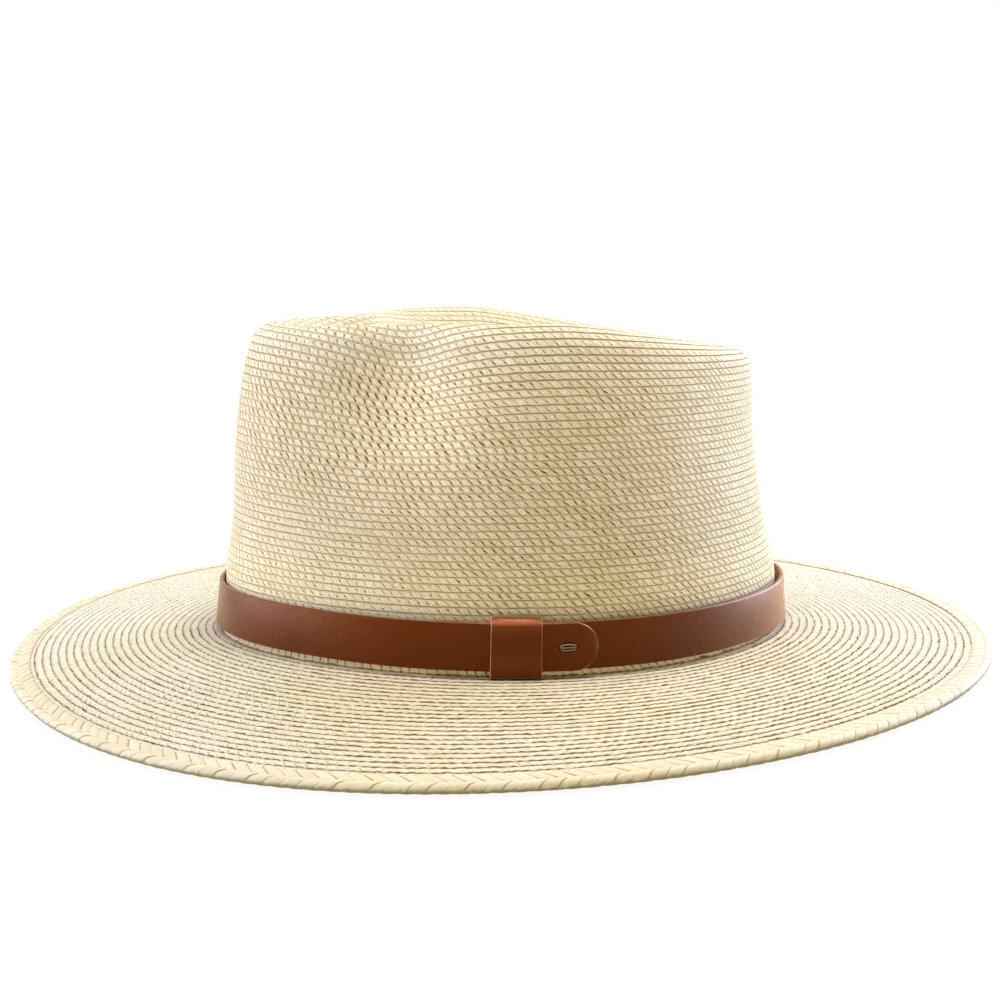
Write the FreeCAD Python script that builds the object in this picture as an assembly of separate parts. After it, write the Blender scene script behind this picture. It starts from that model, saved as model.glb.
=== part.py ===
import FreeCAD, Part
import math
import os

from FreeCAD import Vector

# A sewn straw-braid hat: teardrop crown with two front pinches, wide brim, rolled plaited edge and a leather band.
# Frame, in millimetres: +Z up, the hat stands on its brim edge at Z = 0, its front faces -Y and the wearer's left
# is +X. The crown, band and sweatband are drawn in the headline frame, whose XY plane is the top of the brim where
# it meets the crown, and are then seated: tipped back by headline_tilt and raised by headline_height.
# Round every oval, angle 0 is the rear (+Y), 90 the wearer's left (+X) and 180 the front (-Y).

# ---------------------------------------------------------------- driving dimensions
# Head opening: the outer oval of the crown's foot.
crown_half_length = 102.0
crown_half_width = 80.6
crown_slim = 0.06            # pulls the oval in at its four corners
crown_egg = 0.03             # widens the oval toward the rear
headline_height = 7.6        # of the headline's middle above the surface that the hat stands on
headline_tilt = 1.6          # degrees, lower at the rear

# Crown: heights of the ridge above the headline, and the long dent in the top.
ridge_height_front = 105.8
ridge_height_middle = 109.6
ridge_height_rear = 98.4
ridge_fall = 1.25            # 1 falls evenly toward the rear, more falls later
crown_wall = 1.9
dent_floor_height = 85.8
dent_floor_half_length = 42.0
dent_floor_half_width = 20.0
dent_floor_offset = 2.0      # of the dent's middle toward the rear

# Front pinches, one each side: a bowl pressed into the upper wall.
pinch_depth = 15.0
pinch_setback = 56.0         # in front of the crown's middle
pinch_spread = 19.0

# Sections of the crown wall from foot to ridge crest:
# share of the ridge height, inset at the front, at the sides and at the rear, share of the pinch depth.
wall_sections = (
    (0.00, 0.0, 0.0, 0.0, 0.00),
    (0.20, -0.2, 1.2, 1.2, 0.00),
    (0.34, 2.0, 2.8, 5.2, 0.00),
    (0.46, 2.7, 4.3, 7.8, 0.05),
    (0.58, 2.9, 6.3, 9.7, 0.24),
    (0.69, 3.7, 8.5, 11.2, 0.56),
    (0.80, 4.9, 11.0, 11.9, 0.88),
    (0.90, 6.8, 14.2, 12.4, 1.00),
    (0.97, 9.2, 17.8, 13.8, 0.96),
    (1.00, 13.5, 22.6, 17.4, 0.85),
)
# Sections of the top from the crest to the dent's floor: share of the way out, share of the way up.
top_sections = ((0.80, 0.86), (0.58, 0.52), (0.34, 0.18), (0.0, 0.0))
inner_skips = (4,)           # sections that the plainer inner face leaves out

# Brim: from the break at the crown's foot out to the middle of the rolled edge.
brim_half_length = 175.5
brim_half_width = 165.4
brim_slim = -0.022
brim_egg = -0.072            # widens the oval toward the front
brim_thickness = 1.9
break_radius = 2.6
brim_curve = 1.25            # 1 is a straight cone, more starts flatter at the crown
break_turns = (0, 45, 90)
brim_shares = (0.25, 0.55)

# Edge braid: folded over the brim's raw edge as a round rim.
edge_braid_thickness = 0.95
edge_top_width = 8.5
edge_under_width = 7.0
edge_fold_depth = 0.6        # from the fold's inner face to the middle of the rim
edge_clearance = 0.1

# Leather strap round the crown's foot.
strap_height = 15.5
strap_thickness = 1.4
strap_stand_off = 2.8        # from the crown's foot to the strap's lower inner edge
strap_lean = 1.4             # how far the upper edge leans in
strap_foot = 2.5             # of the strap's lower edge above the headline; the keeper passes under it
strap_layer_gap = 0.2        # between the two layers where the strap overlaps
strap_inner_end = 117.0      # degrees round the oval
strap_tip = 86.6             # degrees round the oval, the round outer end
strap_ramp = 28.0            # degrees over which the outer layer climbs over the inner end
strap_climb_end = 2.0        # degrees past the inner end at which the climb is over
tip_last_turn = 82.0         # degrees of the round end's quarter circles; the rest is a short flat

# Keeper: a loop of the same leather that slides on the strap.
keeper_angle = 102.0         # degrees round the oval
keeper_width = 16.0
keeper_thickness = 1.1
keeper_clearance = 0.3
keeper_slack_above = 0.5     # extra room over the strap's upper edge
keeper_slack_below = 0.7     # the loop hangs down to the brim

# Thread tack through two punched holes in the strap's outer end.
tack_from_tip = 10.0         # along the strap, from the round end to the middle of the tack
tack_span = 5.4
tack_hole = 1.6
tack_thread = 1.1
tack_bar_height = 2.2
tack_bar_thickness = 0.7

# Sweatband inside the head opening, with the welt along its lower edge and the tab over its join.
sweat_height = 32.0
sweat_thickness = 0.9
sweat_clearance = 0.3
sweat_drop = 2.2             # of its lower edge below the headline
welt_width = 2.4
welt_height = 1.8
join_width = 15.0
join_height = 26.0
join_thickness = 0.8
join_lift = 3.0              # of the tab's lower edge above the sweatband's lower edge

# How many points draw each curve.
crown_ring_count = 28
brim_ring_count = 20
strap_station_count = 40
tip_station_count = 7
full_circle_degrees = 360.0


# ---------------------------------------------------------------- shared geometry
def rad(degrees):
    return math.radians(degrees)


def oval(half_length, half_width, slim, egg, degrees):
    """Point of an egg-shaped oval in plan."""
    c, s = math.cos(rad(degrees)), math.sin(rad(degrees))
    return Vector(half_width * s * (1 - slim * c * c) * (1 + egg * c), half_length * c * (1 - slim * s * s), 0)


def crown_oval(outset, degrees, inset=0.0):
    """Crown's oval with its half axes drawn in by inset, then moved outward along its own normal."""
    step = 0.5
    length, width = crown_half_length - inset, crown_half_width - inset
    ahead = oval(length, width, crown_slim, crown_egg, degrees + step)
    behind = oval(length, width, crown_slim, crown_egg, degrees - step)
    along = (ahead - behind).normalize()
    return oval(length, width, crown_slim, crown_egg, degrees) + Vector(-along.y, along.x, 0) * outset


def seat_point(point):
    """From the headline frame to the hat's own frame."""
    c, s = math.cos(rad(headline_tilt)), math.sin(rad(headline_tilt))
    return Vector(point.x, point.y * c + point.z * s, point.z * c - point.y * s + headline_height)


def seat_shape(shape):
    seated = shape.copy()
    seated.rotate(Vector(0, 0, 0), Vector(1, 0, 0), -headline_tilt)
    seated.translate(Vector(0, 0, headline_height))
    return seated


def ring_angles(count):
    return [full_circle_degrees * i / count for i in range(count)]


def even_parameters(count):
    return [float(i) for i in range(count)]


def ring_edge(points):
    """Closed smooth curve; every ring shares the same even parameters, so that bands don't twist."""
    curve = Part.BSplineCurve()
    curve.interpolate(Points=points, PeriodicFlag=True, Parameters=even_parameters(len(points) + 1))
    return curve.toShape()


def open_edge(points):
    curve = Part.BSplineCurve()
    curve.interpolate(Points=points, Parameters=even_parameters(len(points)))
    return curve.toShape()


def skin(rows):
    """Closed bands of ruled face, from each row of ring points to the next."""
    faces = []
    for one, other in zip(rows, rows[1:]):
        faces.append(Part.makeRuledSurface(ring_edge(one), ring_edge(other)))
    return faces


def cap(row):
    """Flat face inside one flat ring."""
    return Part.Face(Part.Wire([ring_edge(row)]))


def solid_of(faces):
    shell = Part.makeShell(faces)
    shell.sewShape(0.001)
    solid = Part.makeSolid(shell)
    if solid.Volume < 0:
        solid.reverse()
    return solid


# ---------------------------------------------------------------- crown
def front_or_rear(front, side, rear, degrees):
    """Blend of three values round the oval."""
    c = math.cos(rad(degrees))
    end = rear if c > 0 else front
    return side * (1 - c * c) + end * c * c


def ridge_height(degrees):
    c = math.cos(rad(degrees))
    if c > 0:
        return ridge_height_middle - (ridge_height_middle - ridge_height_rear) * c ** ridge_fall
    return ridge_height_middle - (ridge_height_middle - ridge_height_front) * c * c


def section_height(section, degrees):
    return break_radius + section[0] * (ridge_height(degrees) - break_radius)


def wall_point(section, degrees):
    """Point of the crown's outer wall in the headline frame."""
    front, side, rear, pinch_share = section[1:]
    inset = front_or_rear(front, side, rear, degrees)
    flat = crown_oval(0, degrees, inset)
    outward = Vector(flat.x / crown_half_width ** 2, flat.y / crown_half_length ** 2, 0).normalize()
    bowl = math.exp(-((flat.y + pinch_setback) / pinch_spread) ** 2)
    flat = flat - outward * (pinch_depth * pinch_share * bowl)
    return Vector(flat.x, flat.y, section_height(section, degrees))


def top_point(section, degrees):
    """Point of the crown's top, between the ridge crest and the dent's floor."""
    out, up = section
    crest = wall_point(wall_sections[-1], degrees)
    c, s = math.cos(rad(degrees)), math.sin(rad(degrees))
    floor = Vector(dent_floor_half_width * s, dent_floor_offset + dent_floor_half_length * c, dent_floor_height)
    flat = floor + (crest - floor) * out
    return Vector(flat.x, flat.y, dent_floor_height + (crest.z - dent_floor_height) * up)


def crown_rows():
    """Rows of points from the foot to the dent's floor."""
    angles = ring_angles(crown_ring_count)
    rows = [[wall_point(section, a) for a in angles] for section in wall_sections]
    return rows + [[top_point(section, a) for a in angles] for section in top_sections]


def inner_rows(rows, depth):
    """The same surface moved inward along its normal; the foot and the floor stay flat."""
    last = len(rows) - 1
    count = len(rows[0])
    inner = []
    for j, row in enumerate(rows):
        if j in inner_skips:
            continue
        moved = []
        for i, point in enumerate(row):
            along = row[(i + 1) % count] - row[i - 1]
            up = rows[min(j + 1, last)][i] - rows[max(j - 1, 0)][i]
            normal = up.cross(along).normalize()
            if j == 0:
                normal = Vector(normal.x, normal.y, 0).normalize()
            if j == last:
                normal = Vector(0, 0, 1)
            moved.append(point - normal * depth)
        inner.append(moved)
    return inner


def make_crown():
    outer = crown_rows()
    inner = inner_rows(outer, crown_wall)
    faces = skin(outer) + skin(inner) + skin([outer[0], inner[0]])
    return seat_shape(solid_of(faces + [cap(outer[-1]), cap(inner[-1])]))


# ---------------------------------------------------------------- brim
def rim_oval(degrees):
    """Middle of the rolled rim in plan."""
    return oval(brim_half_length, brim_half_width, brim_slim, brim_egg, degrees)


def rim_radius():
    return brim_thickness / 2 + edge_clearance + edge_braid_thickness


def break_point(turn, side, degrees):
    """Point of the break between crown and brim: turn 0 is the crown's foot, 90 the flat of the brim.

    side is 1 on the brim's upper face and -1 on its underside."""
    radius = break_radius if side > 0 else break_radius + brim_thickness
    out = break_radius - radius * math.cos(rad(turn))
    height = break_radius - radius * math.sin(rad(turn))
    flat = crown_oval(out, degrees)
    return seat_point(Vector(flat.x, flat.y, height))


def brim_point(share, lift, degrees):
    """Point of the brim: share 0 is the end of the break, 1 the middle of the rim; lift is above its mid-face."""
    inner = (break_point(90, 1, degrees) + break_point(90, -1, degrees)) * 0.5
    outer = rim_oval(degrees) + Vector(0, 0, rim_radius())
    fall = share ** brim_curve
    flat = inner + (outer - inner) * share
    return Vector(flat.x, flat.y, inner.z + (outer.z - inner.z) * fall + lift)


def brim_share(inward, degrees):
    """Share of the brim's width at a distance inward from the middle of the rim."""
    inner = break_point(90, 1, degrees)
    outer = rim_oval(degrees)
    return 1 - inward / math.hypot(outer.x - inner.x, outer.y - inner.y)


def brim_rows(side):
    angles = ring_angles(brim_ring_count)
    rows = [[break_point(turn, side, a) for a in angles] for turn in break_turns]
    lift = side * brim_thickness / 2
    rows += [[brim_point(share, lift, a) for a in angles] for share in brim_shares]
    return rows + [edge_row(edge_fold_depth + edge_clearance, lift)]


def make_brim():
    upper, under = brim_rows(1), brim_rows(-1)
    return solid_of(skin(upper) + skin(under) + skin([upper[0], under[0]]) + skin([upper[-1], under[-1]]))


def edge_row(inward, lift):
    return [brim_point(brim_share(inward, a), lift, a) for a in ring_angles(brim_ring_count)]


def fold_row(turn):
    """Row on the rim's round outer side: turn 90 is its top, 0 outermost and -90 its bottom."""
    radius = rim_radius()
    points = []
    for a in ring_angles(brim_ring_count):
        ahead, behind = rim_oval(a + 0.5), rim_oval(a - 0.5)
        along = (ahead - behind).normalize()
        outward = Vector(-along.y, along.x, 0) * (radius * math.cos(rad(turn)))
        points.append(rim_oval(a) + outward + Vector(0, 0, radius + radius * math.sin(rad(turn))))
    return points


def make_brim_edge_braid():
    outside = rim_radius()
    inside = brim_thickness / 2 + edge_clearance
    outer = [edge_row(edge_top_width, outside)]
    outer += [fold_row(turn) for turn in (90, 45, 0, -45, -90)]
    outer += [edge_row(edge_under_width, -outside)]
    slot = [edge_row(edge_top_width, inside), edge_row(edge_fold_depth, inside)]
    slot += [edge_row(edge_fold_depth, -inside), edge_row(edge_under_width, -inside)]
    return solid_of(skin(outer) + skin(outer[:1] + slot + outer[-1:]))


# ---------------------------------------------------------------- leather band
def smooth(x):
    x = min(max(x, 0.0), 1.0)
    return x * x * (3 - 2 * x)


def oval_speed(degrees):
    """Length of strap per degree round the oval."""
    return crown_oval(strap_stand_off, degrees + 0.5).distanceToPoint(crown_oval(strap_stand_off, degrees - 0.5))


def layer_outset(path):
    """Outset of the strap's inner face along its path, which runs once round from strap_inner_end to strap_tip."""
    climb_end = strap_inner_end - full_circle_degrees + strap_climb_end
    climb = smooth((climb_end + strap_ramp - path) / strap_ramp)
    return strap_stand_off + (strap_thickness + strap_layer_gap) * climb


def strap_point(path, outset, height):
    """Point of the strap: outset from the crown's foot oval, height above its lower edge; it leans inward."""
    lean = strap_lean * height / strap_height
    flat = crown_oval(outset - lean, path)
    return Vector(flat.x, flat.y, strap_foot + height)


def strap_stations():
    """Places along the strap, from its inner end to where the round end starts."""
    start, end = strap_inner_end, round_end_start()
    return [(start + (end - start) * i / (strap_station_count - 1), strap_height / 2) for i in range(strap_station_count)]


def round_end_start():
    end = strap_tip - full_circle_degrees
    return end + strap_height / 2 / oval_speed(end)


def tip_stations():
    """Places along the round end with half the leather's height there."""
    radius, start = strap_height / 2, round_end_start()
    stations = []
    for i in range(tip_station_count):
        turn = rad(tip_last_turn * i / (tip_station_count - 1))
        stations.append((start - radius * math.sin(turn) / oval_speed(start), radius * math.cos(turn)))
    return stations


def strap_edge(stations, face_outset, side):
    """Long edge of the strap: face_outset 0 is its inner face, side 1 its upper edge."""
    points = []
    for path, half in stations:
        height = strap_height / 2 + side * half
        points.append(strap_point(path, layer_outset(path) + face_outset, height))
    return open_edge(points)


def sleeve(edges):
    """Four long faces between the edges of a strip: inner low, inner high, outer low, outer high."""
    return [Part.makeRuledSurface(edges[one], edges[other]) for one, other in ((0, 1), (2, 3), (0, 2), (1, 3))]


def end_face(edges, which):
    ends = [edge.Vertexes[which].Point for edge in edges]
    return Part.makeRuledSurface(Part.makeLine(ends[0], ends[1]), Part.makeLine(ends[2], ends[3]))


def local_frame(degrees, outset, height):
    """Placement on the strap: X along it toward the rear, Y outward, Z up."""
    here = crown_oval(outset - strap_lean * height / strap_height, degrees)
    along = (crown_oval(outset, degrees - 0.5) - crown_oval(outset, degrees + 0.5)).normalize()
    outward = Vector(-along.y, along.x, 0) * -1
    if outward.dot(here) < 0:
        outward = outward * -1
    origin = Vector(here.x, here.y, strap_foot + height)
    return FreeCAD.Placement(origin, FreeCAD.Rotation(along, outward, Vector(0, 0, 1), "YXZ"))


def tack_angle():
    return strap_tip + tack_from_tip / oval_speed(strap_tip)


def layers_depth():
    return 2 * strap_thickness + strap_layer_gap


def tack_legs(radius, from_depth, to_depth):
    """Two pins across the strap at the punched holes."""
    legs = []
    for side in (-1, 1):
        pin = Part.makeCylinder(radius, to_depth - from_depth, Vector(side * tack_span / 2, from_depth, 0),
                                Vector(0, 1, 0))
        legs.append(pin)
    return legs


def make_band_strap():
    faces = []
    for stations, which in ((strap_stations(), 0), (tip_stations(), -1)):
        edges = [strap_edge(stations, outset, side) for outset in (0, strap_thickness) for side in (-1, 1)]
        faces += sleeve(edges) + [end_face(edges, which)]
    strap = solid_of(faces)
    place = local_frame(tack_angle(), strap_stand_off, strap_height / 2)
    for leg in tack_legs(tack_hole / 2, -1.0, layers_depth() + 1.0):
        leg.Placement = place
        strap = strap.cut(leg)
    return seat_shape(strap.Solids[0])


def make_strap_tack():
    """Thread tied through the two holes: a flat bar on each face of the leather and the two strands between."""
    half = (tack_span + tack_thread) / 2
    tack = None
    for start in (-tack_bar_thickness - keeper_clearance / 2, layers_depth() + keeper_clearance / 2):
        bar = Part.makeBox(2 * half, tack_bar_thickness, tack_bar_height, Vector(-half, start, -tack_bar_height / 2))
        tack = bar if tack is None else tack.fuse(bar)
    reach = tack_bar_thickness / 2 + keeper_clearance / 2
    for leg in tack_legs(tack_thread / 2, -reach, layers_depth() + reach):
        tack = tack.fuse(leg)
    tack.Placement = local_frame(tack_angle(), strap_stand_off, strap_height / 2)
    return seat_shape(tack.removeSplitter().Solids[0])


def curve_centre(outset, degrees):
    """Centre and radius of the circle that best follows the crown's oval at one place."""
    step = 6.0
    circle = Part.Arc(*[crown_oval(outset, degrees + d) for d in (-step, 0, step)]).toShape().Curve
    return circle.Center, circle.Radius


def swept_block(outset, degrees, foot, profile, width):
    """Solid with a flat outline, given as (outward, up) from the oval's outset at height foot, swept along it."""
    centre, radius = curve_centre(outset, degrees)
    outward = (crown_oval(outset, degrees) - centre).normalize()
    points = [centre + outward * (radius + x) + Vector(0, 0, foot + z) for x, z in profile]
    face = Part.Face(Part.makePolygon(points + points[:1]))
    sweep = math.degrees(width / radius)
    face.rotate(centre, Vector(0, 0, 1), -sweep / 2)
    return face.revolve(centre, Vector(0, 0, 1), sweep)


def keeper_profile(outset):
    """Outline of the loop round the strap's section, at an outset from the loop's inner face."""
    near, far = -keeper_clearance - outset, layers_depth() + keeper_clearance + outset
    low, high = near - keeper_slack_below, strap_height + keeper_clearance + keeper_slack_above + outset
    slope = strap_lean / strap_height
    return [(near - low * slope, low), (far - low * slope, low), (far - high * slope, high),
            (near - high * slope, high)]


def make_band_keeper():
    block, space = [swept_block(strap_stand_off, keeper_angle, strap_foot, keeper_profile(outset), keeper_width)
                    for outset in (keeper_thickness, 0)]
    long_edges = [e for e in block.Edges if isinstance(e.Curve, Part.Circle)]
    block = block.makeChamfer(keeper_thickness * 0.5, long_edges)
    return seat_shape(block.cut(space).Solids[0])


# ---------------------------------------------------------------- sweatband
def lining_point(depth, height, degrees):
    """Point inside the crown at a depth from its outer wall, which narrows from section to section."""
    inset = 0.0
    for lower, upper in zip(wall_sections, wall_sections[1:]):
        foot, top = section_height(lower, degrees), section_height(upper, degrees)
        if height > foot:
            start = front_or_rear(lower[1], lower[2], lower[3], degrees)
            end = front_or_rear(upper[1], upper[2], upper[3], degrees)
            inset = start + (end - start) * min(1.0, (height - foot) / (top - foot))
    flat = crown_oval(-depth, degrees, inset)
    return Vector(flat.x, flat.y, height)


def lining_heights(low, high, degrees):
    """Heights at which the lining bends with the wall: its two edges and each wall section between them."""
    between = [section_height(section, degrees) for section in wall_sections]
    return [low] + [height for height in between if low < height < high] + [high]


def lining_rows(depth, low, high):
    columns = []
    for a in ring_angles(brim_ring_count):
        columns.append([lining_point(depth, height, a) for height in lining_heights(low, high, a)])
    return [list(row) for row in zip(*columns)]


def sweat_depth():
    return crown_wall + sweat_clearance


def lining_ring(depth, thickness, low, high):
    """Ring inside the crown that follows the wall."""
    rows = lining_rows(depth, low, high) + lining_rows(depth + thickness, low, high)[::-1]
    return seat_shape(solid_of(skin(rows + rows[:1])))


def make_sweatband():
    return lining_ring(sweat_depth(), sweat_thickness, -sweat_drop, sweat_height)


def make_sweatband_welt():
    """Folded tape that joins the sweatband's lower edge to the head opening."""
    return lining_ring(sweat_depth() - welt_width / 2, welt_width, -sweat_drop - welt_height, -sweat_drop)


def make_sweatband_join():
    """Tab over the sweatband's butt join at the rear."""
    depth = sweat_depth() + sweat_thickness + sweat_clearance
    low = join_lift - sweat_drop
    heights = lining_heights(low, low + join_height, 0)
    start = lining_point(depth, low, 0).y
    wall_side = [(lining_point(depth, height, 0).y - start, height - low) for height in heights]
    inner_side = [(out - join_thickness, up) for out, up in wall_side]
    return seat_shape(swept_block(-depth, 0, low, wall_side + inner_side[::-1], join_width))


# ---------------------------------------------------------------- build
def main():
    makers = {
        "crown": make_crown,
        "brim": make_brim,
        "brim_edge_braid": make_brim_edge_braid,
        "band_strap": make_band_strap,
        "band_keeper": make_band_keeper,
        "strap_tack": make_strap_tack,
        "sweatband": make_sweatband,
        "sweatband_welt": make_sweatband_welt,
        "sweatband_join": make_sweatband_join,
    }
    os.makedirs("parts", exist_ok=True)
    for name, make in makers.items():
        shape = make()
        shape.exportStep("parts/" + name + ".step")
        box = shape.BoundBox
        print(name, shape.ShapeType, "valid", shape.isValid(), "volume %.0f" % shape.Volume,
              "X %.1f %.1f Y %.1f %.1f Z %.1f %.1f" % (box.XMin, box.XMax, box.YMin, box.YMax, box.ZMin, box.ZMax))
    centre, radius = curve_centre(strap_stand_off, keeper_angle)
    pivot = seat_point(centre)
    print("keeper pivot %.2f %.2f %.2f radius %.2f" % (pivot.x, pivot.y, pivot.z, radius))


main()
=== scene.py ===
import math

import bmesh
import bpy
import numpy as np
from mathutils import Matrix, Vector


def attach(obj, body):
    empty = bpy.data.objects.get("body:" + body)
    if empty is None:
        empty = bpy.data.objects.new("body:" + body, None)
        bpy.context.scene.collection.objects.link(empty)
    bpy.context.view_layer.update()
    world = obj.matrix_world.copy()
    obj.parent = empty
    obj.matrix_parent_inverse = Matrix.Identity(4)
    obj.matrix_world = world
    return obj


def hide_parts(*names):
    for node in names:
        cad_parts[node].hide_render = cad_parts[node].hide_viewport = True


# A straw hat sewn from one long narrow plait, with a wider plait folded over its brim and a leather band.
# Lengths are in millimetres and become metres where a mesh is made. Angles round the hat are in degrees: 0 is the
# rear, 90 the wearer's left and 180 the front. Finishes work in metres, in the hat's own frame.

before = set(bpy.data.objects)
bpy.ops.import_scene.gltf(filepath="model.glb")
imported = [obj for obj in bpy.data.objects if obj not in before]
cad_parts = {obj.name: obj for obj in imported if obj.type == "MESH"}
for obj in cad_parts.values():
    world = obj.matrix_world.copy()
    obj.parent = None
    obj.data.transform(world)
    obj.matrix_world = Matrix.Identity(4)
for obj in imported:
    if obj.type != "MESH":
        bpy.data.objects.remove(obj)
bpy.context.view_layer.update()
scene = bpy.context.scene

MM = 0.001

# ---- sizes
# These are the solids' own, apart from the ridge and the pinches, which are up to 3 mm fuller here, the brim's curve,
# which starts flatter, and the folded edge, which is narrower on top.
CROWN = dict(length=102.0, width=80.6, slim=0.06, egg=0.03)
BRIM = dict(length=175.5, width=165.4, slim=-0.022, egg=-0.072)
HEADLINE_HEIGHT, HEADLINE_TILT = 7.6, math.radians(1.6)
RIDGE_FRONT, RIDGE_MIDDLE, RIDGE_REAR, RIDGE_FALL = 107.8, 111.2, 99.6, 1.25
CROWN_WALL = 1.9
DENT_HEIGHT, DENT_LENGTH, DENT_WIDTH, DENT_OFFSET = 85.8, 42.0, 20.0, 2.0
PINCH_DEPTH, PINCH_SETBACK, PINCH_SPREAD = 15.5, 57.0, 22.0
WALL = np.array([
    (0.00, 0.0, 0.0, 0.0, 0.00), (0.20, -0.2, 1.2, 1.2, 0.00), (0.34, 2.0, 2.8, 5.2, 0.00),
    (0.46, 2.7, 4.3, 7.8, 0.05), (0.58, 2.9, 6.3, 9.7, 0.24), (0.69, 3.7, 8.5, 11.2, 0.56),
    (0.80, 4.9, 11.0, 11.9, 0.88), (0.90, 6.8, 14.2, 12.4, 1.00), (0.97, 9.2, 17.8, 13.8, 0.96),
    (1.00, 13.5, 22.6, 17.4, 0.85)])
TOP = ((0.80, 0.86), (0.58, 0.52), (0.34, 0.18), (0.17, 0.04))
BREAK_RADIUS, BRIM_THICKNESS, BRIM_CURVE = 2.6, 1.9, 1.5
EDGE_TOP, EDGE_UNDER, RIM_HEIGHT, RIM_RADIUS = 5.6, 7.0, 2.0, 1.7
EDGE_BEND, SLOT_HALF = 0.6, 1.05               # start of the edge's round rim, half the slot that the brim fills
CORE_SINK, STRAW_SINK = 0.50, 0.58             # depth of the edge's inner layer and of its straws' undersides
CROSSING, STRAW_CELL = 5.1, 0.9                # length of one crossing of the edge plait, a straw's size on its post
STRAP = dict(height=15.5, thickness=1.4, stand_off=2.8, lean=1.4, foot=2.5, gap=0.2,
             inner_end=117.0, tip=86.6, ramp=28.0, climb_end=2.0, corner=0.48)
LAYERS = 2 * STRAP["thickness"] + STRAP["gap"]
STRAP_STATIONS, TIP_STATIONS = 420, 20
KEEPER = dict(angle=102.0, width=16.0, thickness=1.1, clearance=0.3, slack_above=0.5, slack_below=0.7)
TACK_FROM_TIP, TACK_SPAN, THREAD_PITCH, THREAD_RADIUS = 10.0, 5.2, 0.95, 0.19

CROWN_ROW, BRIM_ROW, CELL = 2.5, 2.95, 3.15    # widths of a sewn row and length of one crossing of the plait
ROW_DIP = 3.0                                  # how far the pinches draw the crown's rows down
ROWS_IN_EDGE = 3                               # rows of the brim that the folded edge covers
MID_WALL = 60                                  # number of a point about half way up the crown's fine section line
# Where the points of one sewn row stand, from its tucked edge to its free edge, and how proud each is.
ROW_STEPS = np.array([0.0, 0.22, 0.55, 0.88])
ROW_RISE = np.array([0.0, 0.62, 1.0, 0.80])
CROWN_RELIEF, BRIM_RELIEF, UNDER_RELIEF = 0.10, 0.15, 0.30    # height of the proudest point


# ---- shapes
def smooth(x):
    x = np.clip(x, 0.0, 1.0)
    return x * x * (3 - 2 * x)


def unit(vectors):
    return vectors / np.maximum(np.linalg.norm(vectors, axis=-1, keepdims=True), 1e-9)


def at_height(flat, height):
    """Points in plan with their height added."""
    return np.concatenate([flat, np.broadcast_to(height, flat.shape[:-1])[..., None]], -1)


def all_round(columns):
    return np.arange(columns) * 360.0 / columns


def oval(form, degrees, inset=0.0):
    """Points of an egg-shaped oval in plan, one for each angle."""
    turn = np.radians(degrees)
    c, s = np.cos(turn), np.sin(turn)
    x = (form["width"] - inset) * s * (1 - form["slim"] * c * c) * (1 + form["egg"] * c)
    y = (form["length"] - inset) * c * (1 - form["slim"] * s * s)
    return np.stack([x, y], -1)


def outward(form, degrees):
    along = unit(oval(form, degrees + 0.5) - oval(form, degrees - 0.5))
    return np.stack([-along[..., 1], along[..., 0]], -1)


def crown_oval(outset, degrees):
    return oval(CROWN, degrees) + outward(CROWN, degrees) * np.asarray(outset)[..., None]


def seat(points):
    """From the headline's own frame to the hat's."""
    c, s = math.cos(HEADLINE_TILT), math.sin(HEADLINE_TILT)
    return points @ np.array([(1, 0, 0), (0, c, -s), (0, s, c)]) + np.array([0, 0, HEADLINE_HEIGHT])


def front_or_rear(front, side, rear, degrees):
    c = np.cos(np.radians(degrees))
    return side * (1 - c * c) + np.where(c > 0, rear, front) * c * c


def ridge_height(degrees):
    c = np.cos(np.radians(degrees))
    rear = RIDGE_MIDDLE - (RIDGE_MIDDLE - RIDGE_REAR) * np.abs(c) ** RIDGE_FALL
    front = RIDGE_MIDDLE - (RIDGE_MIDDLE - RIDGE_FRONT) * c * c
    return np.where(c > 0, rear, front)


def wall_points(section, degrees):
    share, front, side, rear, pinch = section
    flat = oval(CROWN, degrees, front_or_rear(front, side, rear, degrees))
    away = unit(flat / np.array([CROWN["width"] ** 2, CROWN["length"] ** 2]))
    bowl = np.exp(-((flat[..., 1] + PINCH_SETBACK) / PINCH_SPREAD) ** 2)
    flat = flat - away * (PINCH_DEPTH * pinch * bowl)[..., None]
    return at_height(flat, BREAK_RADIUS + share * (ridge_height(degrees) - BREAK_RADIUS))


def crown_sections(degrees):
    """Section points from the crown's foot to the middle line of its dent: angle, section, XYZ."""
    turn = np.radians(degrees)

    def dent(width, length):
        flat = np.stack([width * np.sin(turn), DENT_OFFSET + length * np.cos(turn)], -1)
        return at_height(flat, DENT_HEIGHT)

    rows = [wall_points(section, degrees) for section in WALL]
    crest, floor = rows[-1], dent(DENT_WIDTH, DENT_LENGTH)
    for out, up in TOP:
        point = floor + (crest - floor) * out
        point[..., 2] = DENT_HEIGHT + (crest[..., 2] - DENT_HEIGHT) * up
        rows.append(point)
    return np.stack([*rows, floor, dent(0.0, DENT_LENGTH - DENT_WIDTH)], 1)


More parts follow.
